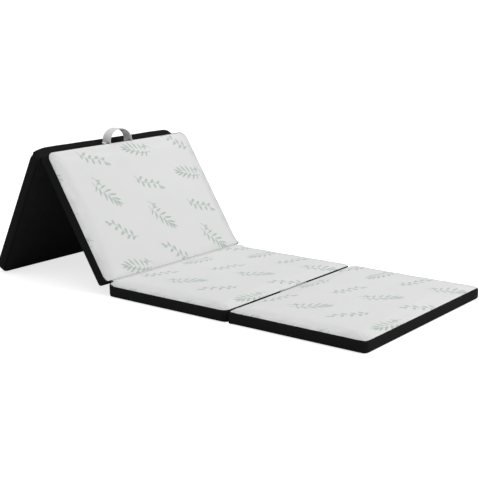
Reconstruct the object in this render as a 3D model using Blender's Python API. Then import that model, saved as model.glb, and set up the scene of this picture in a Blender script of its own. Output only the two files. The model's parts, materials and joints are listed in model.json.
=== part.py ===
# A folding guest mattress of four panels, standing as a lounger.
# Metres, +Z up. The origin is on the floor under the middle of the mid panel.
# +X runs towards the foot of the bed, +Y towards the side with the zips.
# Every panel is modelled lying flat, and its parent empty turns it to the lounger pose.

import math

import bmesh
import bpy
from mathutils import Matrix, Vector

# Panel sizes
panel_length = 0.475
panel_width = 0.700
panel_height = 0.047
hinge_gap = 0.002
corner_radius = 0.025
crown_width = 0.045
crown_corner_radius = 0.014
wall_height = 0.028
seam_height = 0.0365
base_radius = 0.008

# Tight edges, where two panels are sewn to each other
sewn_top_radius = 0.004
sewn_base_radius = 0.0025

# Layers of a panel, from the floor up
base_thickness = 0.0015
band_thickness = 0.0015
support_foam_height = 0.0200
quilt_tuck = 0.003
fit_gap = 0.0003
lining_gap = 0.0010
seam_gap = 0.0009

# Lounger pose, in degrees
recline_angle = 57.4

# Fabric hinges
crown_clearance = 0.0005
hinge_cloth_thickness = 0.0007
hinge_cloth_start = 0.0009
base_hinge_rise = 0.0042
top_hinge_drop = 0.012

# Webbing handles
webbing_width = 0.038
webbing_thickness = 0.0013
handle_span = 0.108
handle_rise = 0.0487
handle_leg = 0.014
twist_start = 0.010
twist_end = 0.042
handle_seat_height = 0.0235
stitched_end_bottom = 0.0055
stitched_end_gap = 0.0003
foot_handle_width = 0.0295
foot_handle_top = 0.0385
foot_handle_droop = 0.0038

# Zips
zip_end_margin = 0.0575
zip_height = 0.0180
tape_width = 0.011
tape_thickness = 0.0008
chain_width = 0.005
chain_rise = 0.0012
slider_length = 0.009
slider_width = 0.009
slider_roof = 0.0012
lug_length = 0.0064
lug_width = 0.0020
lug_bar = 0.0012
lug_room = 0.0016
lug_bite = 0.0003
pull_length = 0.017
pull_width = 0.0064
pull_thickness = 0.0010
pull_rim = 0.0010
pull_hole_length = 0.0036
pull_hole_side_gap = 0.0004
zip_end_room = 0.004

# Mesh fineness
corner_steps = 6
side_steps = 4
base_steps = 3
shoulder_steps = 3
crown_steps = 6
handle_steps = 16
leg_steps = 5
strap_steps = 12
bisections = 40
layer_height_shares = (0.0, 0.15, 0.4, 1.0)

# Worked out from the sizes above
zip_length = panel_length - zip_end_margin * 2
top_hinge_height = panel_height + crown_clearance
support_foam_top = base_thickness + fit_gap + support_foam_height
quilt_underside = seam_height - quilt_tuck
wall_plane = panel_width / 2
recline = math.radians(recline_angle)
ridge_x = -panel_length * math.cos(recline) - top_hinge_height * math.sin(recline)
ridge_z = top_hinge_height + panel_length * math.sin(recline) - top_hinge_height * math.cos(recline)
prop_reach = panel_length - hinge_gap - base_radius
prop_slope = math.asin((ridge_z - base_radius) / math.hypot(prop_reach, base_radius))
prop_slope += math.atan2(base_radius, prop_reach)
fold_at_rest = recline + prop_slope


# Scene clearing and materials
for old in list(bpy.data.objects):
    bpy.data.objects.remove(old)


def make_material(name, colour, roughness, metallic=0.0):
    material = bpy.data.materials.new(name)
    material.use_nodes = True
    shader = material.node_tree.nodes["Principled BSDF"]
    shader.inputs["Base Color"].default_value = (*colour, 1.0)
    shader.inputs["Roughness"].default_value = roughness
    shader.inputs["Metallic"].default_value = metallic
    return material


white_knit = make_material("white_knit", (0.72, 0.72, 0.71), 0.9)
black_cloth = make_material("black_cloth", (0.010, 0.010, 0.011), 0.85)
black_base = make_material("black_base", (0.007, 0.007, 0.008), 0.9)
grey_webbing = make_material("grey_webbing", (0.62, 0.62, 0.62), 0.8)
soft_foam = make_material("soft_foam", (0.80, 0.74, 0.55), 0.95)
firm_foam = make_material("firm_foam", (0.55, 0.62, 0.70), 0.95)
zip_plastic = make_material("zip_plastic", (0.012, 0.012, 0.013), 0.45)
zip_metal = make_material("zip_metal", (0.10, 0.10, 0.11), 0.35, 0.9)


# Empties that stand on the joint axes
def add_empty(name, parent, place, turn=0.0):
    empty = bpy.data.objects.new(name, None)
    bpy.context.scene.collection.objects.link(empty)
    empty.parent = parent
    empty.location = place
    empty.rotation_euler = (0.0, turn, 0.0)
    return empty


root = add_empty("root", None, (-panel_length / 2, 0.0, 0.0))
foot_axis = add_empty("foot_axis", root, (panel_length, 0.0, 0.0))
back_axis = add_empty("back_axis", root, (0.0, 0.0, top_hinge_height), recline)
ridge_axis = add_empty("ridge_axis", back_axis, (-panel_length, 0.0, -top_hinge_height), -fold_at_rest)


def add_object(name, mesh, parent, material, place=(0.0, 0.0, 0.0)):
    obj = bpy.data.objects.new(name, mesh)
    bpy.context.scene.collection.objects.link(obj)
    obj.parent = parent
    obj.location = place
    mesh.materials.append(material)
    return obj


def finish_mesh(name, bm):
    bmesh.ops.recalc_face_normals(bm, faces=bm.faces)
    mesh = bpy.data.meshes.new(name)
    bm.to_mesh(mesh)
    bm.free()
    mesh.shade_smooth()
    mesh.set_sharp_from_angle(angle=math.radians(40.0))
    return mesh


def skin_rings(name, rings, closed_tube=False, cap_first=True, cap_last=True):
    # Each ring is a list of points with the same count. Neighbouring rings are joined by quads.
    bm = bmesh.new()
    rows = [[bm.verts.new(point) for point in ring] for ring in rings]
    pairs = list(zip(rows, rows[1:]))
    if closed_tube:
        pairs.append((rows[-1], rows[0]))
    for lower, upper in pairs:
        for k in range(len(lower)):
            after = (k + 1) % len(lower)
            bm.faces.new((lower[k], lower[after], upper[after], upper[k]))
    if not closed_tube and cap_first:
        bm.faces.new(list(reversed(rows[0])))
    if not closed_tube and cap_last:
        bm.faces.new(rows[-1])
    return finish_mesh(name, bm)


# Plan outline of a panel
def rounded_loop(x_low, x_high, y_low, y_high, radius):
    # Points and inward normals, anticlockwise, with the same count for any size
    arcs = []
    for quarter, (x, y) in enumerate(((x_high, y_high), (x_low, y_high), (x_low, y_low), (x_high, y_low))):
        centre = Vector((x - radius if x == x_high else x + radius, y - radius if y == y_high else y + radius))
        arc = []
        for step in range(corner_steps + 1):
            turn = (quarter + step / corner_steps) * math.pi / 2
            outward = Vector((math.cos(turn), math.sin(turn)))
            arc.append((centre + outward * radius, -outward))
        arcs.append(arc)
    loop = []
    for arc, following in zip(arcs, arcs[1:] + arcs[:1]):
        loop += arc
        for step in range(1, side_steps):
            loop.append((arc[-1][0].lerp(following[0][0], step / side_steps), arc[-1][1]))
    return loop


def smooth(share):
    share = min(1.0, max(0.0, share))
    return share * share * (3.0 - 2.0 * share)


class Spoke:
    # One place round the rim of a panel: how its tuck, wall and crown run there
    def __init__(self, outer, inward, inner, top_hinge_x, base_hinge_x):
        self.outer = outer
        self.inward = inward
        self.inner = inner
        self.reach = (inner - outer).dot(inward)
        soft_top = 1.0 if top_hinge_x is None else smooth(abs(outer.x - top_hinge_x) / corner_radius)
        soft_base = 1.0 if base_hinge_x is None else smooth(abs(outer.x - base_hinge_x) / corner_radius)
        sewn_wall = panel_height - sewn_top_radius
        self.wall_top = sewn_wall + (wall_height - sewn_wall) * soft_top
        self.rise = panel_height - self.wall_top
        self.base = sewn_base_radius + (base_radius - sewn_base_radius) * soft_base

    def crown(self, turn, depth):
        # A quarter ellipse from the wall to the flat top, and what lies depth inside it
        across = math.cos(turn) / self.reach
        upward = math.sin(turn) / self.rise
        size = math.hypot(across, upward)
        place = self.outer.lerp(self.inner, 1.0 - math.cos(turn)) + self.inward * (depth * across / size)
        return Vector((place.x, place.y, self.wall_top + self.rise * math.sin(turn) - depth * upward / size))

    def tuck(self, turn, depth):
        # A quarter circle from the underside to the wall, and what lies depth inside it
        radius = self.base - depth
        place = self.outer + self.inward * (self.base - radius * math.sin(turn))
        return Vector((place.x, place.y, self.base - radius * math.cos(turn)))

    def seam_turn(self):
        return math.asin((seam_height - wall_height) / (panel_height - wall_height))

    def band_top_turn(self):
        turn = self.seam_turn()
        pace = math.hypot(self.reach * math.sin(turn), self.rise * math.cos(turn))
        return turn - seam_gap / pace

    def at_height(self, height, depth):
        # The place at this height on the shape that lies depth inside the rim
        if height < self.base:
            radius = self.base - depth
            lowest = self.base - radius
            turn = math.acos((self.base - max(height, lowest)) / radius) if radius > 0.0 else 0.0
            place = self.tuck(turn, depth)
        elif height <= self.wall_top:
            place = self.tuck(math.pi / 2, depth)
        else:
            low, high = 0.0, math.pi / 2
            for _ in range(bisections):
                middle = (low + high) / 2
                if self.crown(middle, depth).z < height:
                    low = middle
                else:
                    high = middle
            place = self.crown(low, depth)
        return Vector((place.x, place.y, height))


def panel_spokes(x_low, x_high, top_hinge_x, base_hinge_x):
    outer = rounded_loop(x_low, x_high, -wall_plane, wall_plane, corner_radius)
    inner = rounded_loop(
        x_low + (sewn_top_radius if top_hinge_x == x_low else crown_width),
        x_high - (sewn_top_radius if top_hinge_x == x_high else crown_width),
        -wall_plane + crown_width,
        wall_plane - crown_width,
        crown_corner_radius,
    )
    return [Spoke(o, normal, i, top_hinge_x, base_hinge_x) for (o, normal), (i, _) in zip(outer, inner)]


def turns(first, last, steps):
    return [first + (last - first) * k / steps for k in range(steps + 1)]


# Layers of one panel
def quilt_mesh(name, spokes):
    depth = band_thickness + lining_gap
    lower = [s.crown(s.seam_turn(), depth) for s in spokes]
    rings = [[(p.x, p.y, quilt_underside) for p in lower], lower]
    for share in turns(0.0, 1.0, crown_steps):
        rings.append([s.crown(s.seam_turn() + (math.pi / 2 - s.seam_turn()) * share, 0.0) for s in spokes])
    return skin_rings(name, rings)


def band_mesh(name, spokes):
    rings = [[s.tuck(turn, 0.0) for s in spokes] for turn in turns(0.0, math.pi / 2, base_steps)]
    for share in turns(0.0, 1.0, shoulder_steps):
        rings.append([s.crown(s.band_top_turn() * share, 0.0) for s in spokes])
    for share in turns(1.0, 0.0, shoulder_steps - 1):
        rings.append([s.crown(s.band_top_turn() * share, band_thickness) for s in spokes])
    for turn in turns(math.pi / 2, 0.0, base_steps - 1):
        rings.append([s.tuck(turn, band_thickness) for s in spokes])
    return skin_rings(name, rings, closed_tube=True)


def foam_mesh(name, spokes, bottom, top):
    depth = band_thickness + lining_gap
    heights = [bottom + (top - bottom) * share for share in layer_height_shares]
    return skin_rings(name, [[s.at_height(height, depth) for s in spokes] for height in heights])


def base_mesh(name, spokes):
    rings = []
    for height in (0.0, base_thickness):
        edge = [s.outer + s.inward * (s.base + fit_gap) for s in spokes]
        rings.append([(p.x, p.y, height) for p in edge])
    return skin_rings(name, rings)


# Straight pieces: a profile pushed along Y or X
def prism_mesh(name, profile, low, high, place_point):
    return skin_rings(name, [[place_point(p, end) for p in profile] for end in (low, high)])


def along_x(point, x):
    return (x, point[0], point[1])


def along_y(point, y):
    return (point[0], y, point[1])


def along_z(point, z):
    return (point[0], point[1], z)


# Zip on the far side wall: tape with its chain, slider and pull
def zip_chain_mesh(name, x_middle):
    inside = wall_plane + fit_gap
    face = inside + tape_thickness
    crest = face + chain_rise
    low, high = zip_height - tape_width / 2, zip_height + tape_width / 2
    chain_low, chain_high = zip_height - chain_width / 2, zip_height + chain_width / 2
    profile = [
        (inside, low),
        (face, low),
        (face, chain_low),
        (crest, chain_low),
        (crest, chain_high),
        (face, chain_high),
        (face, high),
        (inside, high),
    ]
    return prism_mesh(name, profile, x_middle - zip_length / 2, x_middle + zip_length / 2, along_x)


slider_foot = wall_plane + fit_gap + tape_thickness + fit_gap
slider_ceiling = wall_plane + fit_gap + tape_thickness + chain_rise + fit_gap
slider_top = slider_ceiling + slider_roof
pull_axis_y = slider_top + lug_room / 2


def slider_mesh(name):
    # Origin on the pull's axis, above the middle of the slider
    half, channel = slider_width / 2, chain_width / 2 + fit_gap
    foot, ceiling, top = (y - pull_axis_y for y in (slider_foot, slider_ceiling, slider_top))
    profile = [
        (foot, -half),
        (top, -half),
        (top, half),
        (foot, half),
        (foot, channel),
        (ceiling, channel),
        (ceiling, -channel),
        (foot, -channel),
    ]
    body = prism_mesh(name, profile, -slider_length / 2, slider_length / 2, along_x)
    outside, inside = lug_length / 2, lug_length / 2 - lug_bar
    bar_low, bar_high = lug_room / 2, lug_room / 2 + lug_bar
    arch = [
        (-outside, top - lug_bite),
        (-outside, bar_high),
        (outside, bar_high),
        (outside, top - lug_bite),
        (inside, top - lug_bite),
        (inside, bar_low),
        (-inside, bar_low),
        (-inside, top - lug_bite),
    ]
    lug = prism_mesh(name + "_lug", arch, -lug_width / 2, lug_width / 2, along_z)
    return body, lug


def pull_mesh(name, way):
    # A plate with a slot round the slider's lug, pointing along X to the side that way gives
    rim, end = pull_rim / 2, pull_length - pull_rim / 2
    slot_end = rim + pull_hole_length
    slot_half = lug_width / 2 + pull_hole_side_gap
    half = pull_width / 2
    outside = [(-rim, -half), (end, -half), (end, half), (-rim, half)]
    slot = [(rim, -slot_half), (slot_end, -slot_half), (slot_end, slot_half), (rim, slot_half)]
    rings = []
    for loop, y in ((outside, -1), (outside, 1), (slot, 1), (slot, -1)):
        rings.append([(way * x, y * pull_thickness / 2, z) for x, z in loop])
    return skin_rings(name, rings, closed_tube=True)


def add_zip(panel, parent, x_middle, height, way):
    # way is +1 where the closed end is towards +X with the panel flat, and -1 the other way
    add_object(panel + "_zip_chain", zip_chain_mesh(panel + "_zip_chain", x_middle), parent, zip_plastic, (0.0, 0.0, height))
    closed = x_middle + way * (zip_length / 2 - zip_end_room - slider_length / 2)
    carrier = add_empty(panel + "_zip_axis", parent, (closed, pull_axis_y, height + zip_height))
    body, lug = slider_mesh(panel + "_zip_slider")
    slider = add_object(panel + "_zip_slider", body, carrier, zip_metal)
    cutter = add_object(panel + "_zip_lug", lug, carrier, zip_metal)
    cutter.hide_render = True
    cutter.display_type = "WIRE"
    union = slider.modifiers.new("lug", "BOOLEAN")
    union.operation = "UNION"
    union.solver = "EXACT"
    union.object = cutter
    add_object(panel + "_zip_pull", pull_mesh(panel + "_zip_pull", way), carrier, zip_metal)


def add_panel(panel, parent, x_low, x_high, height, top_hinge_x=None, base_hinge_x=None, zip_way=1):
    # height is where the panel's underside is, seen from the parent empty
    spokes = panel_spokes(x_low, x_high, top_hinge_x, base_hinge_x)
    comfort_bottom = support_foam_top + fit_gap
    layers = (
        ("_top_quilt", quilt_mesh(panel + "_top_quilt", spokes), white_knit),
        ("_side_band", band_mesh(panel + "_side_band", spokes), black_cloth),
        ("_base_cloth", base_mesh(panel + "_base_cloth", spokes), black_base),
        (
            "_comfort_foam",
            foam_mesh(panel + "_comfort_foam", spokes, comfort_bottom, quilt_underside - fit_gap),
            soft_foam,
        ),
        (
            "_support_foam",
            foam_mesh(panel + "_support_foam", spokes, base_thickness + fit_gap, support_foam_top),
            firm_foam,
        ),
    )
    for ending, mesh, material in layers:
        add_object(panel + ending, mesh, parent, material, (0.0, 0.0, height))
    add_zip(panel, parent, (x_low + x_high) / 2, height, zip_way)


solid_length = panel_length - hinge_gap
add_panel("mid", root, hinge_gap, solid_length, 0.0, top_hinge_x=hinge_gap, base_hinge_x=solid_length)
add_panel("foot", foot_axis, hinge_gap, solid_length, 0.0, base_hinge_x=hinge_gap)
add_panel(
    "back",
    back_axis,
    -solid_length,
    -hinge_gap,
    -top_hinge_height,
    top_hinge_x=-hinge_gap,
    base_hinge_x=-solid_length,
)
add_panel("support", ridge_axis, -solid_length, -hinge_gap, 0.0, base_hinge_x=-hinge_gap, zip_way=-1)


# Fabric hinges: a strip of cloth that runs up one end wall, past the axis and up the other
def thicken(line, thickness):
    # Both sides of a polyline, with mitred bends
    sides = ([], [])
    for k, point in enumerate(line):
        before = (point - line[k - 1]).normalized() if k else None
        after = (line[k + 1] - point).normalized() if k + 1 < len(line) else None
        first = before or after
        last = after or before
        normal = (Vector((-first.y, first.x)) + Vector((-last.y, last.x))).normalized()
        reach = thickness / 2 / normal.dot(Vector((-first.y, first.x)))
        sides[0].append(point + normal * reach)
        sides[1].append(point - normal * reach)
    return sides[0] + list(reversed(sides[1]))


def hinge_cloth_mesh(name, near, far, turn):
    # near and far are heights from the axis. The leg on the -X side is turned as its panel is.
    offset = hinge_gap - fit_gap - hinge_cloth_thickness / 2
    turning = Matrix.Rotation(turn, 3, "Y")
    turned = [turning @ Vector((-offset, 0.0, height)) for height in (near, far)]
    line = [Vector((offset, far)), Vector((offset, near))] + [Vector((p.x, p.z)) for p in turned]
    half = panel_width / 2 - corner_radius
    return prism_mesh(name, thicken(line, hinge_cloth_thickness), -half, half, along_y)


add_object(
    "foot_hinge_cloth",
    hinge_cloth_mesh("foot_hinge_cloth", hinge_cloth_start, base_hinge_rise, 0.0),
    root,
    black_cloth,
    (panel_length, 0.0, 0.0),
)
add_object(
    "back_hinge_cloth",
    hinge_cloth_mesh("back_hinge_cloth", -hinge_cloth_start, -top_hinge_drop, recline),
    root,
    white_knit,
    (0.0, 0.0, top_hinge_height),
)
add_object(
    "ridge_hinge_cloth",
    hinge_cloth_mesh("ridge_hinge_cloth", hinge_cloth_start, base_hinge_rise, -fold_at_rest),
    back_axis,
    black_cloth,
    (-panel_length, 0.0, -top_hinge_height),
)


# Carry handle that stands on the ridge: a webbing loop on two stitched ends
def strap_mesh(name, stations, thickness):
    # Each station is a place on the strap's middle line, the way it runs and the way its width lies
    rings = []
    for place, run, across in stations:
        side = across.normalized() * (webbing_width / 2)
        up = run.cross(across).normalized() * (thickness / 2)
        rings.append([place - side - up, place + side - up, place + side + up, place - side + up])
    return skin_rings(name, rings)


def handle_stations():
    # Up one leg, over the arch and down the other, lying in the plane of Y and Z
    half = handle_span / 2
    places = [Vector((0.0, -half, handle_leg * k / leg_steps)) for k in range(leg_steps)]
    for k in range(handle_steps + 1):
        turn = math.pi * k / handle_steps
        arch = handle_rise - handle_leg
        places.append(Vector((0.0, -half * math.cos(turn), handle_leg + arch * math.sin(turn))))
    places += [Vector((0.0, half, handle_leg * k / leg_steps)) for k in reversed(range(leg_steps))]
    stations = []
    for k, place in enumerate(places):
        run = (places[min(k + 1, len(places) - 1)] - places[max(k - 1, 0)]).normalized()
        flat = run.cross(Vector((1.0, 0.0, 0.0)))
        twist = smooth((place.z - twist_start) / (twist_end - twist_start)) * math.pi / 2
        across = flat * math.cos(twist) * math.copysign(1.0, -place.y or 1.0) + Vector((math.sin(twist), 0.0, 0.0))
        stations.append((place, run, across))
    return stations


handle_axis = add_empty(
    "ridge_handle_axis",
    back_axis,
    (
        -solid_length - fit_gap - webbing_thickness / 2,
        0.0,
        handle_seat_height - top_hinge_height,
    ),
    -recline,
)
add_object("ridge_handle", strap_mesh("ridge_handle", handle_stations(), webbing_thickness), handle_axis, grey_webbing)


def stitched_end_mesh(name, side):
    top = handle_seat_height - webbing_thickness / 2 - stitched_end_gap
    face = -solid_length - fit_gap
    low, high = side * handle_span / 2 - webbing_width / 2, side * handle_span / 2 + webbing_width / 2
    profile = [(face - webbing_thickness, low), (face, low), (face, high), (face - webbing_thickness, high)]
    return prism_mesh(name, profile, stitched_end_bottom, top, along_z)


for name, side in (("near_handle_end", -1), ("far_handle_end", 1)):
    add_object(name, stitched_end_mesh(name, side), back_axis, grey_webbing, (0.0, 0.0, -top_hinge_height))


# Second carry handle: its loop is pushed down into the gap at the foot hinge and lies flat there
def foot_handle_mesh(name):
    half = (handle_span + webbing_width) / 2
    upper, lower = [], []
    for k in range(strap_steps + 1):
        share = 2.0 * k / strap_steps - 1.0
        height = foot_handle_top - foot_handle_droop * share * share
        upper.append((half * share, height))
        lower.append((half * share, height - foot_handle_width))
    face = solid_length + fit_gap
    return prism_mesh(name, upper + list(reversed(lower)), face, face + webbing_thickness, along_x)


add_object("foot_handle", foot_handle_mesh("foot_handle"), root, grey_webbing)

print("prop slope", math.degrees(prop_slope), "ridge", ridge_x - panel_length / 2, ridge_z)
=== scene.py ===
import json
import math

import bmesh
import bpy
from mathutils import Matrix, Vector, noise


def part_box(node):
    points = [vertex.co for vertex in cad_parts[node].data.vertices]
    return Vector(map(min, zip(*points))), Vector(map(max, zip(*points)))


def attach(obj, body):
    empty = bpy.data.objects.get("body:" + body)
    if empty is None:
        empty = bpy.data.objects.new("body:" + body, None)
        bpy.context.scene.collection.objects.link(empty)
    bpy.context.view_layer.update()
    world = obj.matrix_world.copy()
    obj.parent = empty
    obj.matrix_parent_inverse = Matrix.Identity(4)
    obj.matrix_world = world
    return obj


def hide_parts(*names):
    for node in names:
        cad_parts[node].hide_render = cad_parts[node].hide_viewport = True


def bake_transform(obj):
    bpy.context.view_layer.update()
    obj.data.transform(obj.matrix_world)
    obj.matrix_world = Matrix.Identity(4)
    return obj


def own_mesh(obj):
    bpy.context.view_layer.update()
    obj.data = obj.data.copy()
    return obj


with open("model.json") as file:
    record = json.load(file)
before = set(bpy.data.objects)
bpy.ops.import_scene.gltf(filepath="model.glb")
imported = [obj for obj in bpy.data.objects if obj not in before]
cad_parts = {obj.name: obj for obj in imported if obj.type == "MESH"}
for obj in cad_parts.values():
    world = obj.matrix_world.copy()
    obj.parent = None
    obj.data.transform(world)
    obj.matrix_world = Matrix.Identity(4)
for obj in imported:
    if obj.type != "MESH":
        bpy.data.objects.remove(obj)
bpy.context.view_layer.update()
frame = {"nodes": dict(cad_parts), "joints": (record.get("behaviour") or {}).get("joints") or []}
scene = bpy.context.scene

joints = {joint["name"]: joint for joint in frame["joints"]}
panelNames = ("foot", "mid", "back", "support")
panelBody = {name: name + "_panel" for name in panelNames}

# How far the back and the support panel are turned up from the flat mattress
recline = -math.radians(joints["back_recline"]["range_deg"][0])
fold = -math.radians(joints["support_fold"]["range_deg"][0])
fullTurn = 2.0 * math.pi

# Panel sizes repeat the ones the CAD model was made with, in metres
panel = {
    "length": 0.471,  # solid length, without the gap at the hinge
    "pitch": 0.475,
    "width": 0.700,
    "height": 0.047,
    "cornerRadius": 0.025,
    "seamHeight": 0.0365,
    "wallHeight": 0.028,
    "sewnWall": 0.043,
    # Which end is sewn to its neighbour at the top: -1 is the left end, 1 the right
    "sewnEnd": {"foot": 0, "mid": -1, "back": 1, "support": 0},
    # Corner radii of the sewn cover at the left and right end
    "coverCorners": {
        "foot": (0.012, 0.016),
        "mid": (0.008, 0.025),
        "back": (0.025, 0.008),
        "support": (0.025, 0.025),
    },
}

meshing = {"merge": 1e-5, "flatAngle": 0.5, "cutSnap": 1e-6, "clothShade": 50.0}


def panelPlaces():
    # Where each panel lies: a matrix from its own flat frame, centred on its underside
    halfPitch = panel["pitch"] / 2
    backAxis = Vector(joints["back_recline"]["pos_m"])
    ridgeAxis = Vector(joints["support_fold"]["pos_m"])
    fromTop = Matrix.Translation((-halfPitch, 0.0, -backAxis.z))
    fromBase = Matrix.Translation((-halfPitch, 0.0, 0.0))
    return {
        "mid": Matrix.Identity(4),
        "foot": Matrix.Translation((panel["pitch"], 0.0, 0.0)),
        "back": Matrix.Translation(backAxis) @ Matrix.Rotation(recline, 4, "Y") @ fromTop,
        "support": Matrix.Translation(ridgeAxis) @ Matrix.Rotation(recline - fold, 4, "Y") @ fromBase,
    }


places = panelPlaces()


# Small helpers for meshes
def newObject(name, bm):
    mesh = bpy.data.meshes.new(name)
    bm.to_mesh(mesh)
    bm.free()
    obj = bpy.data.objects.new(name, mesh)
    scene.collection.objects.link(obj)
    return obj


def nodeMesh(node):
    # A merged copy of a CAD node, which comes as loose triangles
    bm = bmesh.new()
    bm.from_mesh(frame["nodes"][node].data)
    bmesh.ops.remove_doubles(bm, verts=bm.verts, dist=meshing["merge"])
    angle = math.radians(meshing["flatAngle"])
    bmesh.ops.dissolve_limit(bm, angle_limit=angle, verts=bm.verts, edges=bm.edges)
    return bm


def localBox(node, place):
    # Two corners of a CAD node's box in a panel's own frame
    inverse = place.inverted()
    bm = nodeMesh(node)
    points = [inverse @ vertex.co for vertex in bm.verts]
    bm.free()
    low = Vector([min(point[axis] for point in points) for axis in range(3)])
    high = Vector([max(point[axis] for point in points) for axis in range(3)])
    return low, high


def localVertices(obj, place):
    # Each vertex with its place in the panel's own frame
    inverse = place.inverted()
    return [(vertex, inverse @ vertex.co) for vertex in obj.data.vertices]


def upOf(place):
    return place.to_3x3() @ Vector((0.0, 0.0, 1.0))


def cutPlane(bm, centre, normal):
    pieces = bm.verts[:] + bm.edges[:] + bm.faces[:]
    bmesh.ops.bisect_plane(bm, geom=pieces, dist=meshing["cutSnap"], plane_co=centre, plane_no=normal)


def cutGrid(bm, place, step):
    # Slices the mesh into even strips along the panel's own axes
    for way, half in (
        (Vector((1.0, 0.0, 0.0)), panel["length"] / 2),
        (Vector((0.0, 1.0, 0.0)), panel["width"] / 2),
    ):
        count = int(2 * half / step)
        for k in range(1, count):
            offset = -half + 2 * half * k / count
            cutPlane(bm, place @ (way * offset), place.to_3x3() @ way)


def bakeModifiers(obj):
    depsgraph = bpy.context.evaluated_depsgraph_get()
    mesh = bpy.data.meshes.new_from_object(obj.evaluated_get(depsgraph))
    obj.modifiers.clear()
    old, obj.data = obj.data, mesh
    bpy.data.meshes.remove(old)


def subdivide(obj, creaseAngle):
    # One smoothing step, which keeps the edges that are sharper than the angle
    bm = bmesh.new()
    bm.from_mesh(obj.data)
    crease = bm.edges.layers.float.new("crease_edge")
    for edge in bm.edges:
        if len(edge.link_faces) == 2 and edge.calc_face_angle() > math.radians(creaseAngle):
            edge[crease] = 1.0
    bm.to_mesh(obj.data)
    bm.free()
    smoother = obj.modifiers.new("smoother", "SUBSURF")
    smoother.levels = smoother.render_levels = 1
    bakeModifiers(obj)


def shadeSmooth(obj, sharpAngle):
    obj.data.shade_smooth()
    obj.data.set_sharp_from_angle(angle=math.radians(sharpAngle))


def sharpEdges(bm, angle):
    return [edge for edge in bm.edges if edge.calc_face_angle(0.0) > math.radians(angle)]


def roundEdges(bm, edges, offset, segments):
    bmesh.ops.bevel(
        bm,
        geom=edges,
        offset=offset,
        segments=segments,
        profile=0.5,
        affect="EDGES",
        material=-1,
        clamp_overlap=True,
    )


def stripGrid(length, width, lengthSteps, widthSteps):
    # A flat strip with its cloth map in metres, to be bent along a path and thickened
    bm = bmesh.new()
    layer = bm.loops.layers.uv.new("cloth")
    bmesh.ops.create_grid(bm, x_segments=lengthSteps, y_segments=widthSteps, size=0.5)
    for vertex in bm.verts:
        vertex.co = Vector((vertex.co.x * length, vertex.co.y * width, 0.0))
    for face in bm.faces:
        for corner in face.loops:
            corner[layer].uv = (corner.vert.co.x, corner.vert.co.y)
    return bm


def thicken(bm, thickness):
    bmesh.ops.recalc_face_normals(bm, faces=bm.faces)
    bmesh.ops.solidify(bm, geom=bm.faces[:], thickness=thickness)
    bmesh.ops.recalc_face_normals(bm, faces=bm.faces)


def recentre(obj, place, axis, middle):
    # Slides a thickened strip along one of the panel's own axes, until its mean is at the middle
    points = [local[axis] for vertex, local in localVertices(obj, place)]
    shift = Vector((0.0, 0.0, 0.0))
    shift[axis] = middle - sum(points) / len(points)
    obj.data.transform(Matrix.Translation(place.to_3x3() @ shift))


def softNoise(point, size, seed):
    return noise.noise(Vector((point.x / size + seed, point.y / size - seed, point.z / size + 2.0 * seed)))


def ramp(value, low, high):
    # Runs softly from 0 at the low end to 1 at the high end
    share = min(1.0, max(0.0, (value - low) / (high - low)))
    return share * share * (3.0 - 2.0 * share)


def pastCentres(local):
    # How far a place lies past the centres of the outline's round corners, along x and along y
    radius = panel["cornerRadius"]
    return abs(local.x) - (panel["length"] / 2 - radius), abs(local.y) - (panel["width"] / 2 - radius)


def rimInset(local):
    # How far in from the panel's rounded outline a place lies
    dx, dy = pastCentres(local)
    return panel["cornerRadius"] - math.hypot(max(dx, 0.0), max(dy, 0.0)) - min(max(dx, dy), 0.0)


def rimDistance(local):
    # Length along the outline from the middle of an end wall, mirrored in each quarter
    radius = panel["cornerRadius"]
    straightX = panel["length"] / 2 - radius
    straightY = panel["width"] / 2 - radius
    ax, ay = abs(local.x), abs(local.y)
    if ay <= straightY and ax > straightX:
        return ay
    if ax <= straightX:
        return straightY + radius * math.pi / 2 + straightX - ax
    return straightY + radius * math.atan2(ay - straightY, ax - straightX)


def outwardAt(local):
    # The level direction that leads out of the panel's rounded outline
    dx, dy = pastCentres(local)
    if dx > 0.0 and dy > 0.0:
        out = Vector((dx, dy, 0.0)).normalized()
    else:
        out = Vector((1.0, 0.0, 0.0)) if dx > dy else Vector((0.0, 1.0, 0.0))
    return Vector((math.copysign(out.x, local.x), math.copysign(out.y, local.y), 0.0))


def seamAt(name, local):
    # Height of the seam here, and how free this place is of an end that is sewn at the top
    end = panel["sewnEnd"][name]
    free = 1.0
    if end != 0:
        free = ramp(abs(local.x - end * panel["length"] / 2), 0.0, panel["cornerRadius"])
    wall = panel["sewnWall"] + (panel["wallHeight"] - panel["sewnWall"]) * free
    share = (panel["seamHeight"] - panel["wallHeight"]) / (panel["height"] - panel["wallHeight"])
    return wall + (panel["height"] - wall) * share, free


def squaredOff(name, local):
    # Moves a place near a corner out, from the foam's round corner to the cover's tighter one
    wide, tight = panel["cornerRadius"], panel["coverCorners"][name][local.x > 0.0]
    dx, dy = pastCentres(local)
    if dx <= 0.0 or dy <= 0.0 or tight >= wide:
        return local
    size, inner = math.hypot(dx, dy), wide - tight
    c, s = dx / size, dy / size
    if wide * min(c, s) <= inner * max(c, s):
        reach = wide / max(c, s)
    else:
        reach = inner * (c + s) + math.sqrt((inner * (c + s)) ** 2 - 2.0 * inner**2 + tight**2)
    x = panel["length"] / 2 - wide + dx * reach / wide
    y = panel["width"] / 2 - wide + dy * reach / wide
    return Vector((math.copysign(x, local.x), math.copysign(y, local.y), local.z))


def layCloth(obj, place, kind):
    # Gives the piece a UV map in metres of cloth: flat for tops and bases, round the rim for bands
    layer = obj.data.uv_layers.new(name="cloth")
    points = [local for vertex, local in localVertices(obj, place)]
    for corner in obj.data.loops:
        point = points[corner.vertex_index]
        layer.data[corner.index].uv = (point.y, point.x) if kind == "flat" else (rimDistance(point), point.z)


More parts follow.
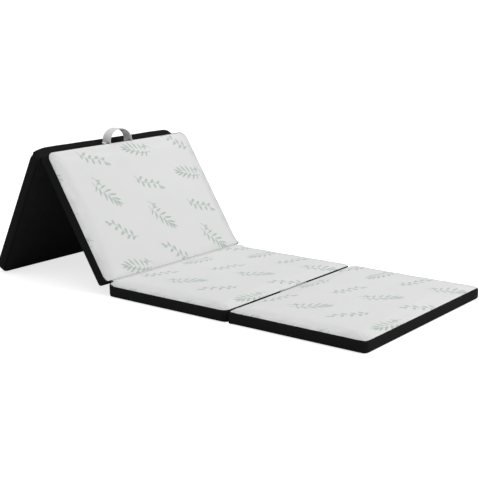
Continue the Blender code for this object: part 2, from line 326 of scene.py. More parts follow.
# Shader maths as plain expressions
class Wire:
    def __init__(self, maker, socket):
        self.maker = maker
        self.socket = socket

    def calc(self, operation, *others, clamp=False):
        inputs = dict(enumerate((self, *others)))
        return self.maker.node("ShaderNodeMath", {"operation": operation, "use_clamp": clamp}, inputs)

    def clamped(self):
        return self.calc("MULTIPLY", 1.0, clamp=True)

    def __add__(self, other):
        return self.calc("ADD", other)

    def __sub__(self, other):
        return self.calc("SUBTRACT", other)

    def __rsub__(self, other):
        return self.maker.value(other).calc("SUBTRACT", self)

    def __mul__(self, other):
        return self.calc("MULTIPLY", other)

    __radd__ = __add__
    __rmul__ = __mul__


class MaterialMaker:
    def __init__(self, name, specular=0.5, metallic=0.0, sheen=0.0):
        self.material = bpy.data.materials.new(name)
        self.material.use_nodes = True
        self.tree = self.material.node_tree
        self.shader = self.tree.nodes["Principled BSDF"]
        self.shader.inputs["Metallic"].default_value = metallic
        self.shader.inputs["Sheen Weight"].default_value = sheen
        self.shader.inputs["Specular IOR Level"].default_value = specular

    def plug(self, socket, value):
        if isinstance(value, Wire):
            self.tree.links.new(value.socket, socket)
        else:
            socket.default_value = value

    def node(self, kind, settings=None, inputs=None, output=0):
        made = self.tree.nodes.new(kind)
        for key, setting in (settings or {}).items():
            setattr(made, key, setting)
        for key, value in (inputs or {}).items():
            self.plug(made.inputs[key], value)
        return Wire(self, made.outputs[output])

    def value(self, number):
        made = self.node("ShaderNodeValue")
        made.socket.default_value = number
        return made

    def clothCoordinates(self):
        uv = self.node("ShaderNodeUVMap", {"uv_map": "cloth"})
        first = self.node("ShaderNodeSeparateXYZ", inputs={0: uv})
        return uv, first, Wire(self, first.socket.node.outputs[1])

    def objectCoordinates(self):
        return self.node("ShaderNodeTexCoord", output="Object")

    def noiseAt(self, vector, scale, detail=2.0):
        return self.node("ShaderNodeTexNoise", inputs={"Vector": vector, "Scale": scale, "Detail": detail})

    def mix(self, factor, first, second):
        # Mixes two colours, each a tuple or a wire
        first, second = (colour if isinstance(colour, Wire) else (*colour, 1.0) for colour in (first, second))
        inputs = {"Factor": factor, 6: first, 7: second}
        return self.node("ShaderNodeMix", {"data_type": "RGBA"}, inputs, output=2)

    def finish(self, colour, roughness, height, look):
        # Height is in bumpDepth units, and look holds bumpDepth and bumpStrength
        inputs = {"Height": height, "Distance": look["bumpDepth"], "Strength": look["bumpStrength"]}
        self.plug(self.shader.inputs["Normal"], self.node("ShaderNodeBump", inputs=inputs))
        self.plug(self.shader.inputs["Base Color"], colour)
        self.plug(self.shader.inputs["Roughness"], roughness)
        return self.material


whiteLook = {
    "colour": (0.812, 0.818, 0.814),
    "shaded": (0.766, 0.771, 0.767),
    "shadeScale": 7.0,
    "sheen": 0.12,
    "specular": 0.25,
    "roughness": 0.82,
    "roughnessSpread": 0.10,
    # Printed sprigs, in rows that run aslant
    "leafColour": (0.37, 0.47, 0.40),
    "leafStrength": 0.85,
    "leafSpeckle": 0.35,
    "tendrilStrength": 0.92,
    "rowTurn": 31.0,
    "rowShift": (0.060, 0.070),
    "repeatAcross": 0.236,
    "repeatAlong": 0.236,
    "edgeSoftness": 0.0006,
    "stemSoftness": 0.00036,
    "stemTaper": 15.0,
    # Painted shade: the white darkens towards grey near both long edges, in soft uneven patches
    "paintedEdgeShade": (0.50, 0.505, 0.50),
    "paintedShadeReach": 0.065,
    "paintedShadeStrength": 1.0,
    "patchScale": 26.0,
    "patchContrast": 1.6,
    "patchStart": 0.3,
    # Knit stitches: small chevrons in columns
    "wale": 0.0021,
    "course": 0.0017,
    "courseHeight": 0.25,
    "waleHeight": 0.175,
    "fibreScale": 900.0,
    "puffScale": 60.0,
    "puffHeight": 1.6,
    "leafHeight": -0.8,
    "bumpDepth": 0.00022,
    "bumpStrength": 0.8,
}

# A leafy sprig: where each leaf starts, its angle in degrees, its length and half its width
sprigLeaves = (
    (-0.046, -0.014, 96.0, 0.026, 0.0030),
    (-0.046, -0.014, -62.0, 0.024, 0.0029),
    (-0.034, -0.010, 76.0, 0.033, 0.0035),
    (-0.031, -0.009, -48.0, 0.030, 0.0033),
    (-0.016, -0.005, 64.0, 0.038, 0.0038),
    (-0.013, -0.004, -38.0, 0.034, 0.0035),
    (0.001, 0.000, 54.0, 0.040, 0.0039),
    (0.004, 0.001, -26.0, 0.037, 0.0036),
    (0.018, 0.006, 46.0, 0.037, 0.0037),
    (0.020, 0.007, -12.0, 0.036, 0.0036),
    (0.030, 0.011, 30.0, 0.034, 0.0034),
    (0.032, 0.012, 6.0, 0.034, 0.0032),
    (-0.050, -0.030, 12.0, 0.026, 0.0026),
    (-0.052, -0.031, -28.0, 0.024, 0.0026),
)
# A stem has one more value, how far it bends
sprigStems = ((-0.066, -0.020, 18.0, 0.104, 0.0012, 0.010), (-0.068, -0.036, 14.0, 0.040, 0.0011, -0.005))

# A trailing tendril with small round leaves on both sides
tendrilLeaves = (
    (-0.054, 0.004, 62.0, 0.0210, 0.0050),
    (-0.045, 0.006, -58.0, 0.0220, 0.0052),
    (-0.033, 0.008, 60.0, 0.0225, 0.0053),
    (-0.021, 0.007, -60.0, 0.0225, 0.0053),
    (-0.008, 0.003, 58.0, 0.0230, 0.0054),
    (0.005, -0.001, -58.0, 0.0220, 0.0053),
    (0.018, -0.005, 56.0, 0.0215, 0.0052),
    (0.031, -0.008, -50.0, 0.0205, 0.0048),
    (0.043, -0.008, 40.0, 0.0200, 0.0046),
    (0.052, -0.006, 4.0, 0.0200, 0.0044),
)
tendrilStems = ((-0.068, -0.001, 2.0, 0.068, 0.0012, 0.009), (-0.002, 0.001, -4.0, 0.060, 0.0012, -0.009))


def leafMask(across, along, leaf):
    # A leaf narrows to both ends, and a stem keeps its width and bends
    startX, startY, angle, length, half, *bend = leaf
    c, s = math.cos(math.radians(angle)), math.sin(math.radians(angle))
    way = across * (c / length) + (along * (s / length) - (startX * c + startY * s) / length)
    off = across * -s + (along * c + (startX * s - startY * c))
    arch = way * (1.0 - way) * 4.0  # 0 at both ends and 1 in the middle
    if bend:
        off = off - arch * bend[0]
        width = arch.calc("MULTIPLY", whiteLook["stemTaper"], clamp=True) * half
        soft = whiteLook["stemSoftness"]
    else:
        width = arch * half
        soft = whiteLook["edgeSoftness"]
    return (width - off.calc("ABSOLUTE")).calc("MULTIPLY_ADD", 1.0 / soft, 0.5, clamp=True)


def motifMask(place, leaves):
    masks = [leafMask(*place, leaf) for leaf in leaves]
    total = masks[0]
    for mask in masks[1:]:
        total = total.calc("MAXIMUM", mask)
    return total


def repeated(across, along, shiftAcross, shiftAlong):
    # Coordinates that start again in each repeat, shifted half a repeat and turned in every second row
    wide, tall = whiteLook["repeatAcross"], whiteLook["repeatAlong"]
    rows = (along + shiftAlong) * (1.0 / tall)
    row = rows.calc("FLOOR")
    columns = (across + shiftAcross) * (1.0 / wide) + row * 0.5
    flip = row.calc("FLOORED_MODULO", 2.0) * -2.0 + 1.0
    return (columns - columns.calc("FLOOR") - 0.5) * wide * flip, (rows - row - 0.5) * tall


def makeWhiteKnit():
    look = whiteLook
    maker = MaterialMaker("whiteKnit", look["specular"], sheen=look["sheen"])
    uv, across, along = maker.clothCoordinates()
    c, s = math.cos(math.radians(look["rowTurn"])), math.sin(math.radians(look["rowTurn"]))
    rowAcross = across * c + along * s
    rowAlong = along * c - across * s
    firstX, firstY = look["rowShift"]
    nextX, nextY = firstX + look["repeatAcross"] / 4, firstY + look["repeatAlong"] / 2
    sprig = motifMask(repeated(rowAcross, rowAlong, firstX, firstY), sprigLeaves + sprigStems)
    tendril = motifMask(repeated(rowAcross, rowAlong, nextX, nextY), tendrilLeaves + tendrilStems)
    motif = sprig.calc("MAXIMUM", tendril * look["tendrilStrength"])
    fibre = maker.noiseAt(uv, look["fibreScale"], 1.0)
    base = maker.mix(maker.noiseAt(uv, look["shadeScale"], 3.0), look["shaded"], look["colour"])
    # Painted shade near the long edges, mixed into the base colour in noise patches
    inner = panel["width"] / 2 - look["paintedShadeReach"]
    edge = ((across.calc("ABSOLUTE") - inner) * (1.0 / look["paintedShadeReach"])).calc("MAXIMUM", 0.0)
    shadePatches = maker.noiseAt(uv, look["patchScale"], 3.0) * look["patchContrast"] - look["patchStart"]
    paintedShade = (edge * edge * shadePatches * look["paintedShadeStrength"]).calc("MAXIMUM", 0.0)
    base = maker.mix(paintedShade, base, look["paintedEdgeShade"])
    speckle = fibre * look["leafSpeckle"] + (1.0 - look["leafSpeckle"])
    colour = maker.mix(motif * speckle * look["leafStrength"], base, look["leafColour"])
    column = (across * (1.0 / look["wale"])).calc("PINGPONG", 0.5)
    row = along * (1.0 / look["course"]) + column
    courses = (row * fullTurn).calc("SINE") * look["courseHeight"]
    wales = (across * (fullTurn / look["wale"])).calc("COSINE") * look["waleHeight"]
    puffs = maker.noiseAt(uv, look["puffScale"]) * look["puffHeight"]
    height = courses + wales + puffs + motif * look["leafHeight"]
    return maker.finish(colour, fibre * look["roughnessSpread"] + look["roughness"], height, look)


# Woven black cloth, finer on the walls than on the underside. The underside's cloth is made about twice as
# light as the walls': painted light that lifts the shaded underside
blackLook = {
    "blackCloth": {
        "dark": (0.0052, 0.0052, 0.0054),
        "light": (0.0124, 0.0124, 0.0127),
        "pitch": 0.0016,
        "bumpDepth": 0.00018,
        "bumpStrength": 0.7,
    },
    # Painted light: about twice as light as the wall cloth, to lift the shade under and inside the panels
    "blackBase": {
        "dark": (0.0110, 0.0110, 0.0113),
        "light": (0.0250, 0.0250, 0.0254),
        "pitch": 0.0024,
        "bumpDepth": 0.00030,
        "bumpStrength": 0.7,
    },
    "specular": 0.12,
    "roughness": 0.74,
    "roughnessSpread": 0.14,
    "yarnPitchShare": 0.62,
    "wornScale": 26.0,
    "lintScale": 700.0,
    "patchShares": (0.7, 0.3, 0.06),  # worn places, lint and twill
    "heightShares": (0.6, 0.3, 0.8),  # twill, yarn and lint
}


def weighted(wires, shares):
    total = wires[0] * shares[0]
    for wire, share in zip(wires[1:], shares[1:]):
        total = total + wire * share
    return total


def makeBlackCloth(name):
    look = blackLook
    own = look[name]
    maker = MaterialMaker(name, look["specular"])
    uv, across, along = maker.clothCoordinates()
    twill = ((across + along) * (fullTurn / own["pitch"])).calc("SINE")
    yarn = ((across - along) * (fullTurn / (own["pitch"] * look["yarnPitchShare"]))).calc("SINE")
    worn = maker.noiseAt(uv, look["wornScale"], 4.0)
    lint = maker.noiseAt(uv, look["lintScale"])
    patch = weighted((worn, lint, twill), look["patchShares"]).clamped()
    height = weighted((twill, yarn, lint), look["heightShares"])
    roughness = lint * look["roughnessSpread"] + look["roughness"]
    return maker.finish(maker.mix(patch, own["dark"], own["light"]), roughness, height, own)


webbingLook = {
    "dark": (0.74, 0.74, 0.745),
    "light": (0.90, 0.90, 0.90),
    "specular": 0.30,
    "sheen": 0.08,
    "roughness": 0.75,
    "ribPitch": 0.0024,
    "pickPitch": 0.0013,
    "lintScale": 500.0,
    "shadeShares": (0.12, 0.10, 0.4),  # ribs, picks and lint
    "shadeStart": 0.35,
    "heightShares": (0.5, 0.4, 0.4),
    "bumpDepth": 0.00030,
    "bumpStrength": 0.8,
}


def makeWebbing():
    look = webbingLook
    maker = MaterialMaker("greyWebbing", look["specular"], sheen=look["sheen"])
    uv, along, across = maker.clothCoordinates()
    rib = (across * (fullTurn / look["ribPitch"])).calc("SINE")
    pick = (along * (fullTurn / look["pickPitch"]) + rib).calc("SINE")
    lint = maker.noiseAt(uv, look["lintScale"])
    shade = (weighted((rib, pick, lint), look["shadeShares"]) + look["shadeStart"]).clamped()
    height = weighted((rib, pick, lint), look["heightShares"])
    return maker.finish(maker.mix(shade, look["dark"], look["light"]), look["roughness"], height, look)


foamLook = {
    "softFoam": {"colour": (0.80, 0.74, 0.55), "pore": (0.56, 0.50, 0.34), "cell": 0.0016},
    "firmFoam": {"colour": (0.55, 0.62, 0.70), "pore": (0.36, 0.42, 0.50), "cell": 0.0011},
    "specular": 0.2,
    "roughness": 0.95,
    "cloudScale": 18.0,
    "poreShares": (0.8, 0.2),  # cells and clouds
    "bumpDepth": 0.0006,
    "bumpStrength": 0.6,
}


def makeFoam(name):
    look = foamLook
    own = look[name]
    maker = MaterialMaker(name, look["specular"])
    place = maker.objectCoordinates()
    inputs = {"Vector": place, "Scale": 1.0 / own["cell"]}
    cells = maker.node("ShaderNodeTexVoronoi", {"feature": "F1"}, inputs, "Distance")
    cloud = maker.noiseAt(place, look["cloudScale"], 3.0)
    pores = weighted((cells, cloud), look["poreShares"]).clamped()
    colour = maker.mix(pores, own["colour"], own["pore"])
    return maker.finish(colour, look["roughness"], cells * -1.0, look)


# Zip parts and thread: two colours mixed by fine scuffs
scuffLook = {
    "zipPlastic": {
        "colours": ((0.008, 0.008, 0.009), (0.022, 0.022, 0.023)),
        "specular": 0.4,
        "roughness": (0.35, 0.25),  # least, and what the scuffs add
        "noise": (320.0, 3.0),
        "bumpDepth": 0.0001,
        "bumpStrength": 0.4,
    },
    "zipMetal": {
        "colours": ((0.030, 0.030, 0.033), (0.24, 0.24, 0.25)),
        "specular": 0.5,
        "metallic": 0.9,
        "roughness": (0.22, 0.3),
        "noise": (240.0, 4.0),
        "rubbed": (0.56, 6.0),  # only the strongest scuffs show bare metal
        "bumpDepth": 0.00006,
        "bumpStrength": 0.4,
    },
    "thread": {
        "colours": ((0.36, 0.36, 0.365), (0.55, 0.55, 0.55)),
        "specular": 0.3,
        "roughness": (0.7, 0.0),
        "noise": (1400.0, 1.0),
        "bumpDepth": 0.0001,
        "bumpStrength": 0.5,
    },
}


def makeScuffed(name):
    look = scuffLook[name]
    maker = MaterialMaker(name, look["specular"], look.get("metallic", 0.0))
    scuff = shown = maker.noiseAt(maker.objectCoordinates(), *look["noise"])
    if "rubbed" in look:
        start, contrast = look["rubbed"]
        shown = (scuff - start).calc("MULTIPLY", contrast, clamp=True)
    least, spread = look["roughness"]
    roughness = scuff * spread + least if spread else least
    return maker.finish(maker.mix(shown, *look["colours"]), roughness, scuff, look)


materials = {
    "whiteKnit": makeWhiteKnit(),
    "blackCloth": makeBlackCloth("blackCloth"),
    "blackBase": makeBlackCloth("blackBase"),
    "greyWebbing": makeWebbing(),
    "softFoam": makeFoam("softFoam"),
    "firmFoam": makeFoam("firmFoam"),
    "zipPlastic": makeScuffed("zipPlastic"),
    "zipMetal": makeScuffed("zipMetal"),
    "thread": makeScuffed("thread"),
}
print("materials made")


def panelObject(name, node, title, cut):
    # A CAD node as a new object, cut into strips along its panel
    bm = nodeMesh(node)
    cutGrid(bm, places[name], cut)
    return newObject(title, bm)


def dress(obj, material, slot, body, node=None):
    obj.data.materials.clear()
    obj.data.materials.append(materials[material])
    if body:
        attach(obj, body)
    if node:
        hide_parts(node)


def finishCover(obj, name, kind, shadeAngle, material, slot, node):
    # What tops, bands and base cloths share: the cover's corners, its cloth map and its look
    place = places[name]
    for vertex, local in localVertices(obj, place):
        vertex.co = place @ squaredOff(name, local)
    layCloth(obj, place, kind)
    shadeSmooth(obj, shadeAngle)
    dress(obj, material, slot, panelBody[name], node)


def finishStrip(bm, name, place, axis, middle, thickness, look, body, node):
    # Thickens a strip, centres it along one of its panel's axes and dresses it
    thicken(bm, thickness)
    obj = newObject(name, bm)
    recentre(obj, place, axis, middle)
    shadeSmooth(obj, meshing["clothShade"])
    dress(obj, *look, body, node)
    return obj


# White quilted tops: a padded cloth over the foam, swollen by a short cloth simulation
quilt = {
    "cut": 0.0092,
    "rimHeights": (0.0375, 0.0388, 0.0404, 0.0424, 0.0446),
    "creaseAngle": 55.0,
    "shadeAngle": 80.0,
    "seedStep": 7.3,
    "firstSeed": 1.0,
    "fill": 0.95,
    # Where the cloth starts below the CAD's crown
    "startLower": 0.0012,
    "lowerInset": (0.010, 0.040),
    "lowerHeight": (0.037, 0.044),
    # Simulation
    "pressure": 4.0,
    "frames": 20,
    "quality": 3,
    "heldAbove": 0.0006,
    "mostMove": 0.0026,
    # Puckers that run in from the seam
    "puckerDepth": 0.0012,
    "puckerInset": (0.004, 0.045),
    "puckerRise": 0.003,
    "puckerLength": 0.016,
    "puckerStretch": 0.35,
    # Broad soft waves
    "waveDepth": 0.0010,
    "waveLength": 0.16,
    "waveInset": (0.015, 0.09),
    "waveSeed": 3.0,
    # A rim that rolls out over the seam
    "belowSeam": 0.0008,
    "overhang": 0.0018,
    "overhangFade": (0.0015, 0.0060),
    "overhangStart": (-0.0008, 0.0012),
    "overhangLow": 0.55,
    "overhangRipple": 0.45,
    "overhangDrop": 0.0006,
    "dropFade": 0.0015,
    "ridgeFade": (0.20, 0.23),
    # Beside a sewn end the white cloth laps down over the band
    "lapReach": 0.0052,
    "lapHeight": 0.0012,
    "lapTurn": (0.60, 0.80),
    # Two tops fold face to face, so neither stands higher than its share of the space
    "highest": 0.0472,
    "settleInset": (0.006, 0.030),
    "settleHeight": (0.038, 0.0445),
}


def swell(name, obj, place):
    # The rim stays where it is sewn, and the rest may rise by a few millimetres
    rest = [vertex.co.copy() for vertex in obj.data.vertices]
    held = obj.vertex_groups.new(name="held")
    for vertex, local in localVertices(obj, place):
        if local.z < seamAt(name, local)[0] + quilt["heldAbove"]:
            held.add([vertex.index], 1.0, "REPLACE")
    cloth = obj.modifiers.new("cloth", "CLOTH")
    cloth.settings.quality = quilt["quality"]
    cloth.settings.vertex_group_mass = held.name
    cloth.settings.use_pressure = True
    cloth.settings.uniform_pressure_force = quilt["pressure"]
    cloth.settings.effector_weights.gravity = 0.0
    cloth.collision_settings.use_collision = False
    cloth.point_cache.frame_start = 1
    cloth.point_cache.frame_end = quilt["frames"]
    for step in range(1, quilt["frames"] + 1):
        scene.frame_set(step)
    bakeModifiers(obj)
    scene.frame_set(1)
    for vertex, start in zip(obj.data.vertices, rest):
        move = vertex.co - start
        if move.length > quilt["mostMove"]:
            vertex.co = start + move.normalized() * quilt["mostMove"]


def finishQuilt(name, obj, place, seed):
    turned = place.to_3x3()
    for vertex, local in localVertices(obj, place):
        height, free = seamAt(name, local)
        above = local.z - height
        if above < -quilt["belowSeam"]:
            continue
        inset = rimInset(local)
        near = (1.0 - ramp(inset, *quilt["puckerInset"])) * ramp(above, 0.0, quilt["puckerRise"])
        aroundRim = Vector((rimDistance(local), inset * quilt["puckerStretch"], 0.0))
        ripple = softNoise(aroundRim, quilt["puckerLength"], seed)
        wave = softNoise(Vector((local.x, local.y, 0.0)), quilt["waveLength"], seed + quilt["waveSeed"])
        rise = quilt["puckerDepth"] * ripple * near
        rise += quilt["waveDepth"] * wave * ramp(inset, *quilt["waveInset"])
        roll = (1.0 - ramp(above, *quilt["overhangFade"])) * free
        if name == "back" and local.x < 0.0:
            roll *= 1.0 - ramp(-local.x, *quilt["ridgeFade"])
        roll *= quilt["overhangLow"] + (1.0 - quilt["overhangLow"]) * ramp(above, *quilt["overhangStart"])
        reach = quilt["overhang"] * (1.0 + quilt["overhangRipple"] * ripple) * roll
        drop = quilt["overhangDrop"] * (1.0 - ramp(above, 0.0, quilt["dropFade"])) * free
        out = outwardAt(local)
        lap = ramp(abs(out.y), *quilt["lapTurn"]) * (1.0 - ramp(above, 0.0, quilt["lapHeight"]))
        aside = math.copysign(quilt["lapReach"] * (1.0 - free) * lap, local.y)
        drop += (height - panel["seamHeight"]) * lap
        vertex.co += turned @ (out * reach + Vector((0.0, aside, rise - drop)))


def lowerCrown(obj, place, depth, inset, height):
    # Lowers the crown by the depth, softly from nothing at the rim
    up = upOf(place)
    for vertex, local in localVertices(obj, place):
        vertex.co -= up * depth * ramp(rimInset(local), *inset) * ramp(local.z, *height)


def makeQuilt(name, number):
    node = name + "_top_quilt"
    place = places[name]
    bm = nodeMesh(node)
    cutGrid(bm, place, quilt["cut"])
    for height in quilt["rimHeights"]:
        cutPlane(bm, place @ Vector((0.0, 0.0, height)), upOf(place))
    obj = newObject(name + "TopQuilt", bm)
    lowerCrown(obj, place, quilt["startLower"], quilt["lowerInset"], quilt["lowerHeight"])
    swell(name, obj, place)
    subdivide(obj, quilt["creaseAngle"])
    finishQuilt(name, obj, place, quilt["seedStep"] * number + quilt["firstSeed"])
    excess = max(local.z for vertex, local in localVertices(obj, place)) - quilt["highest"]
    if excess > 0.0:
        lowerCrown(obj, place, excess, quilt["settleInset"], quilt["settleHeight"])
    finishCover(obj, name, "flat", quilt["shadeAngle"], "whiteKnit", "white_knit", node)


# Rolled seam between the white top and the black band
seam = {
    "radius": 0.0007,
    "outward": 0.0009,
    "down": 0.0011,
    "sharpAngle": 60.0,
    "sides": 2,
    "shadeAngle": 60.0,
}


def seamLoop(name):
    # The upper of the two sharp rings of the CAD quilt
    bm = nodeMesh(name + "_top_quilt")
    inverse = places[name].inverted()
    rings = []
    unused = set(sharpEdges(bm, seam["sharpAngle"]))
    while unused:
        edge = unused.pop()
        ring = [edge.verts[0], edge.verts[1]]
        while True:
            nextEdge = next((other for other in ring[-1].link_edges if other in unused), None)
            if nextEdge is None:
                break
            unused.discard(nextEdge)
            ring.append(nextEdge.other_vert(ring[-1]))
        if ring[0] is ring[-1]:
            ring.pop()
        rings.append([inverse @ vertex.co for vertex in ring])
    bm.free()
    return max(rings, key=lambda points: sum(point.z for point in points) / len(points))


def makeSeam(name):
    place = places[name]
    points = seamLoop(name)
    curve = bpy.data.curves.new(name + "Seam", "CURVE")
    curve.dimensions = "3D"
    curve.bevel_depth = seam["radius"]
    curve.bevel_resolution = seam["sides"]
    spline = curve.splines.new("POLY")
    spline.points.add(len(points) - 1)
    for point, target in zip(points, spline.points):
        shift = outwardAt(point) * seam["outward"] - Vector((0.0, 0.0, seam["down"]))
        free = seamAt(name, point)[1]
        target.co = (*(place @ (squaredOff(name, point) + shift * free)), 1.0)
    spline.use_cyclic_u = True
    holder = bpy.data.objects.new(name + "SeamCurve", curve)
    scene.collection.objects.link(holder)
    depsgraph = bpy.context.evaluated_depsgraph_get()
    mesh = bpy.data.meshes.new_from_object(holder.evaluated_get(depsgraph))
    bpy.data.objects.remove(holder)
    obj = bpy.data.objects.new(name + "Seam", mesh)
    scene.collection.objects.link(obj)
    layCloth(obj, place, "rim")
    shadeSmooth(obj, seam["shadeAngle"])
    dress(obj, "blackCloth", "black_cloth", panelBody[name])


# Black side bands, a little drawn in between their seams
band = {
    "cut": 0.024,
    "creaseAngle": 50.0,
    "waveDepth": 0.00045,
    "waveLength": 0.035,
    "waveStretch": 0.5,
    "drawnIn": 0.6,
    "lowFade": (0.003, 0.014),
    "highFade": (0.026, 0.036),
    "seedStep": 5.1,
    "firstSeed": 2.0,
    "girth": 2.294,
    "tall": 0.043,
}


def makeBand(name, number):
    node = name + "_side_band"
    place = places[name]
    seed = band["seedStep"] * number + band["firstSeed"]
    obj = panelObject(name, node, name + "SideBand", band["cut"])
    subdivide(obj, band["creaseAngle"])
    turned = place.to_3x3()
    for vertex, local in localVertices(obj, place):
        middle = ramp(local.z, *band["lowFade"]) * (1.0 - ramp(local.z, *band["highFade"]))
        aroundRim = Vector((rimDistance(local), local.z * band["waveStretch"], 0.0))
        ripple = softNoise(aroundRim, band["waveLength"], seed) - band["drawnIn"]
        share = Vector((local.x / panel["length"], local.y / panel["width"], 0.0))
        if abs(share.x) > abs(share.y):
            outward = Vector((math.copysign(1.0, share.x), 0.0, 0.0))
        else:
            outward = Vector((0.0, math.copysign(1.0, share.y), 0.0))
        vertex.co += turned @ outward * (band["waveDepth"] * ripple * middle)
    finishCover(obj, name, "rim", meshing["clothShade"], "blackCloth", "black_cloth", node)


# Base cloths, with soft waves that stay above the floor
base = {
    "cut": 0.030,
    "waveDepth": 0.0004,
    "waveLength": 0.08,
    "lift": 0.5,
    "waveInset": (0.012, 0.06),
    "seedStep": 3.7,
    "firstSeed": 4.0,
    "flatLength": 0.460,
}


def makeBase(name, number):
    node = name + "_base_cloth"
    place = places[name]
    seed = base["seedStep"] * number + base["firstSeed"]
    obj = panelObject(name, node, name + "BaseCloth", base["cut"])
    up = upOf(place)
    for vertex, local in localVertices(obj, place):
        ripple = softNoise(local, base["waveLength"], seed) + base["lift"]
        vertex.co += up * (base["waveDepth"] * ripple * ramp(rimInset(local), *base["waveInset"]))
    finishCover(obj, name, "flat", meshing["clothShade"], "blackBase", "black_base", node)


foam = {"cut": 0.060, "shadeAngle": 30.0, "fill": 1.0}


def makeFoamBlock(name, layer, material, slot):
    node = name + "_" + layer
    obj = panelObject(name, node, name + layer.title().replace("_", ""), foam["cut"])
    shadeSmooth(obj, foam["shadeAngle"])
    dress(obj, material, slot, panelBody[name], node)


for number, name in enumerate(panelNames):
    makeQuilt(name, number)
    makeSeam(name)
    makeBand(name, number)
    makeBase(name, number)
    makeFoamBlock(name, "comfort_foam", "softFoam", "soft_foam")
    makeFoamBlock(name, "support_foam", "firmFoam", "firm_foam")
    print(name, "panel made")


# Where the panels lean together, the support panel's foam bulges above the ridge
puff = {
    "rise": 0.0115,
    "halfLength": 0.340,
    "endSpare": 0.006,
    "taper": 0.050,
    "rippleShare": 0.10,
    "rippleLength": 0.09,
    "rippleSeed": 4.0,
    "steps": 90,
    "merge": 1e-6,
    "creaseAngle": 60.0,
    "shadeAngle": 60.0,
    "anchorInset": 0.004,
    "keep": 0.2,
    "fill": 0.9,
    # Its section, from the bottom over the bulge and back inside: shares of the rise, insets, heights
    "shares": (0.0, 0.10, 0.32, 0.62, 0.88, 1.0, 0.97, 0.82, 0.50, 0.15, 0.0, 0.0, 0.0),
    "insets": (0.0015, 0.0, 0.0, 0.0, 0.0, 0.0, 0.0, 0.0, 0.0, 0.0010, 0.0050, 0.0070, 0.0050),
    "heights": (0.0035, 0.0090, 0.0150, 0.0210, 0.0265, 0.0310, 0.0345, 0.0366, 0.0375)
    + (0.0376, 0.0372, 0.0300, 0.0100),
}


def makeRidgePuff():
    place = places["support"]
    end, radius = panel["length"] / 2, panel["cornerRadius"]
    section = list(zip(puff["shares"], puff["insets"], puff["heights"]))
    count = len(section)
    bm = stripGrid(1.0, 1.0, puff["steps"], count)
    bm.loops.layers.uv.remove(bm.loops.layers.uv["cloth"])
    for vertex in bm.verts:
        share, inset, height = section[round((vertex.co.y + 0.5) * count) % count]
        y = vertex.co.x * 2.0 * puff["halfLength"]
        rise = puff["rise"] * ramp(puff["halfLength"] + puff["endSpare"] - abs(y), 0.0, puff["taper"])
        ripple = softNoise(Vector((y, 0.0, 0.0)), puff["rippleLength"], puff["rippleSeed"])
        rise *= 1.0 + puff["rippleShare"] * ripple
        past = max(0.0, abs(y) - panel["width"] / 2 + radius)
        corner = radius - math.sqrt(radius**2 - past**2)
        vertex.co = place @ Vector((end - corner + share * rise - inset, y, height))
    bmesh.ops.remove_doubles(bm, verts=bm.verts, dist=puff["merge"])
    bmesh.ops.holes_fill(bm, edges=[edge for edge in bm.edges if edge.is_boundary], sides=count)
    bmesh.ops.recalc_face_normals(bm, faces=bm.faces)
    obj = newObject("ridgePuff", bm)
    subdivide(obj, puff["creaseAngle"])
    layCloth(obj, place, "rim")
    shadeSmooth(obj, puff["shadeAngle"])
    dress(obj, "blackCloth", "black_cloth", panelBody["support"])
    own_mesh(obj)


makeRidgePuff()
print("ridge puff made")


# Carry handle on the ridge: webbing that stands up as an arch
carryLoop = {
    "width": 0.038,
    "span": 0.108,
    "leg": 0.0050,
    "rise": 0.0487,
    "twistEnd": 0.0048,
    "gathered": 0.58,
    "footSteps": 8,
    "archSteps": 84,
    "thickness": 0.0013,
    "widthSteps": 10,
    "edgeCurl": 0.0007,
    "lean": 0.0035,
    "keep": 0.09,
}


def loopPlaces():
    # Middle line of the standing carry loop, from its near foot to its far foot
    half, leg = carryLoop["span"] / 2, carryLoop["leg"]
    arch, steps = carryLoop["rise"] - leg, carryLoop["archSteps"]
    legs = [leg * k / carryLoop["footSteps"] for k in range(carryLoop["footSteps"])]
    points = [Vector((0.0, -half, height)) for height in legs]
    for k in range(steps + 1):
        angle = math.pi * k / steps
        points.append(Vector((0.0, -half * math.cos(angle), leg + arch * math.sin(angle))))
    return points + [Vector((0.0, half, height)) for height in reversed(legs)]


def makeCarryLoop():
    foot = Vector(joints["loop_swing"]["pos_m"])
    points = loopPlaces()
    lengths = [0.0]
    for first, second in zip(points, points[1:]):
        lengths.append(lengths[-1] + (second - first).length)
    last = len(points) - 1
    bm = stripGrid(1.0, carryLoop["width"], last, carryLoop["widthSteps"])
    layer = bm.loops.layers.uv["cloth"]
    for face in bm.faces:
        for corner in face.loops:
            corner[layer].uv.x = lengths[round((corner.vert.co.x + 0.5) * last)]
    for vertex in bm.verts:
        k, side = round((vertex.co.x + 0.5) * last), vertex.co.y
        place = points[k]
        run = (points[min(k + 1, last)] - points[max(k - 1, 0)]).normalized()
        # The feet are gathered and lie along the wall, and the webbing turns flat above them
        opened = ramp(place.z, 0.0, carryLoop["twistEnd"])
        side *= carryLoop["gathered"] + (1.0 - carryLoop["gathered"]) * opened
        twist = opened * math.pi / 2
        flat = run.cross(Vector((1.0, 0.0, 0.0))) * math.cos(twist)
        across = flat * math.copysign(1.0, -place.y or 1.0) + Vector((math.sin(twist), 0.0, 0.0))
        outward = run.cross(across).normalized()
        curl = carryLoop["edgeCurl"] * (2.0 * side / carryLoop["width"]) ** 2
        lean = Vector((-carryLoop["lean"] * ramp(place.z, 0.0, carryLoop["rise"]), 0.0, 0.0))
        vertex.co = foot + place + lean + across.normalized() * side + outward * curl
    thicken(bm, carryLoop["thickness"])
    obj = newObject("carryLoop", bm)
    shadeSmooth(obj, meshing["clothShade"])
    dress(obj, "greyWebbing", "grey_webbing", "carry_loop", "ridge_handle")
    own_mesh(obj)


loopEnd = {"alongSteps": 18, "acrossSteps": 8}
webbingSlot = ("greyWebbing", "grey_webbing")


